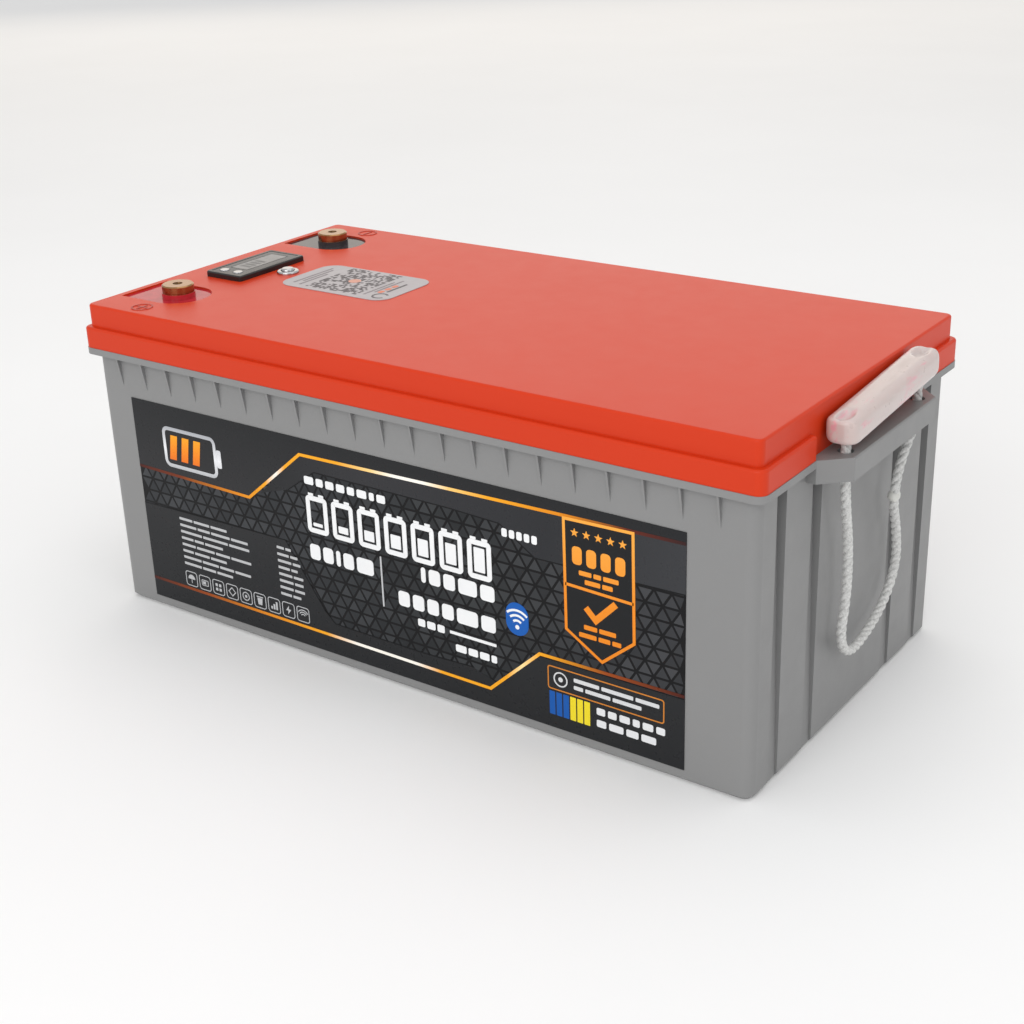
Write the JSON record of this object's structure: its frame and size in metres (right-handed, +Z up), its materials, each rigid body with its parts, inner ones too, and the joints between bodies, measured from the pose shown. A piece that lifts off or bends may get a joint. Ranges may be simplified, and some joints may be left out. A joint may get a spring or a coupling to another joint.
{
  "type": "deep cycle battery",
  "caption": "Sealed deep cycle battery: stepped lid, two recessed threaded terminals, display, power button, printed label and a rope handle with a bar grip at each end.",
  "frame": {"origin": "middle of the base, where the case stands", "axes": "+X along the case away from the terminals, -Y the face with the large label, +Z up"},
  "size_m": [0.5566, 0.268, 0.23],
  "materials": {
    "case_grey": "satin moulded",
    "lid_orange": "satin moulded",
    "rubber_black": "matt",
    "brass": "turned",
    "resin_red": "poured, glossy",
    "resin_black": "poured, glossy",
    "plastic_black": "satin moulded",
    "smoked_glass": "glossy, smoked",
    "lcd_grey": "glossy",
    "circuit_green": "lacquered",
    "chrome": "polished",
    "label_silver": "printed film",
    "label_charcoal": "printed film",
    "cell_blue": "wrapped in film",
    "copper": "plated",
    "steel": "zinc plated",
    "insulation_white": "sheet",
    "plate_aluminium": "milled",
    "foam_dark": "closed cell foam",
    "sleeve_red": "silicone",
    "sleeve_black": "silicone",
    "grip_pearl": "translucent moulded",
    "rope_white": "three-strand laid"
  },
  "bodies": {
    "root": {"balance_harness": "insulation_white", "base_pad": "foam_dark", "bluetooth_module": "circuit_green", "bms_board": "circuit_green", "bms_heatsink": "plate_aluminium", "bms_screws": "steel", "bms_tray": "insulation_white", "board_lead": "sleeve_black", "cable_lugs": "copper", "cell_1": "cell_blue", "cell_2": "cell_blue", "cell_3": "cell_blue", "cell_4": "cell_blue", "cell_5": "cell_blue", "cell_6": "cell_blue", "cell_7": "cell_blue", "cell_8": "cell_blue", "cell_busbars": "copper", "cell_pole_nuts": "steel", "cell_poles": "copper", "cell_spacers": "insulation_white", "container": "case_grey", "display_board": "circuit_green", "display_housing": "plastic_black", "display_lcd": "lcd_grey", "display_lead": "sleeve_black", "display_window": "smoked_glass", "end_plate_left": "plate_aluminium", "end_plate_right": "plate_aluminium", "foam_pads": "foam_dark", "front_label": "label_charcoal", "lid": "lid_orange", "lid_gasket": "rubber_black", "negative_lead": "sleeve_black", "negative_terminal": "brass", "negative_terminal_ring": "resin_black", "negative_well_potting": "resin_black", "positive_lead": "sleeve_red", "positive_terminal": "brass", "positive_terminal_ring": "resin_red", "positive_well_potting": "resin_red", "power_button_bezel": "chrome", "power_button_nut": "plastic_black", "power_button_switch": "plastic_black", "rope_loop_left": "rope_white", "rope_loop_right": "rope_white", "rope_splice_left": "rope_white", "rope_splice_right": "rope_white", "temperature_probe": "sleeve_black", "terminal_nuts": "brass", "tie_rod_nuts": "steel", "tie_rods": "steel", "top_label": "label_silver"},
    "handle_right": {"handle_grip_right": "grip_pearl", "rope_core_right": "rope_white"},
    "handle_left": {"handle_grip_left": "grip_pearl", "rope_core_left": "rope_white"},
    "display_button_left": {"display_button_left": "chrome"},
    "display_button_right": {"display_button_right": "chrome"},
    "power_button": {"power_button_cap": "chrome"}
  },
  "joints": [
    {"name": "handle_right_lift", "type": "slide", "parent": "root", "child": "handle_right", "axis": [0, 0, 1], "range_m": [0, 0.075], "deforming": ["rope_loop_right"]},
    {"name": "handle_left_lift", "type": "slide", "parent": "root", "child": "handle_left", "axis": [0, 0, 1], "range_m": [0, 0.075], "deforming": ["rope_loop_left"]},
    {"name": "display_button_left_press", "type": "slide", "parent": "root", "child": "display_button_left", "axis": [0, 0, -1], "range_m": [0, 0.0005], "stiffness_N_per_m": 3000},
    {"name": "display_button_right_press", "type": "slide", "parent": "root", "child": "display_button_right", "axis": [0, 0, -1], "range_m": [0, 0.0005], "stiffness_N_per_m": 3000},
    {"name": "power_button_press", "type": "slide", "parent": "root", "child": "power_button", "axis": [0, 0, -1], "range_m": [0, 0.0015], "stiffness_N_per_m": 1500}
  ]
}
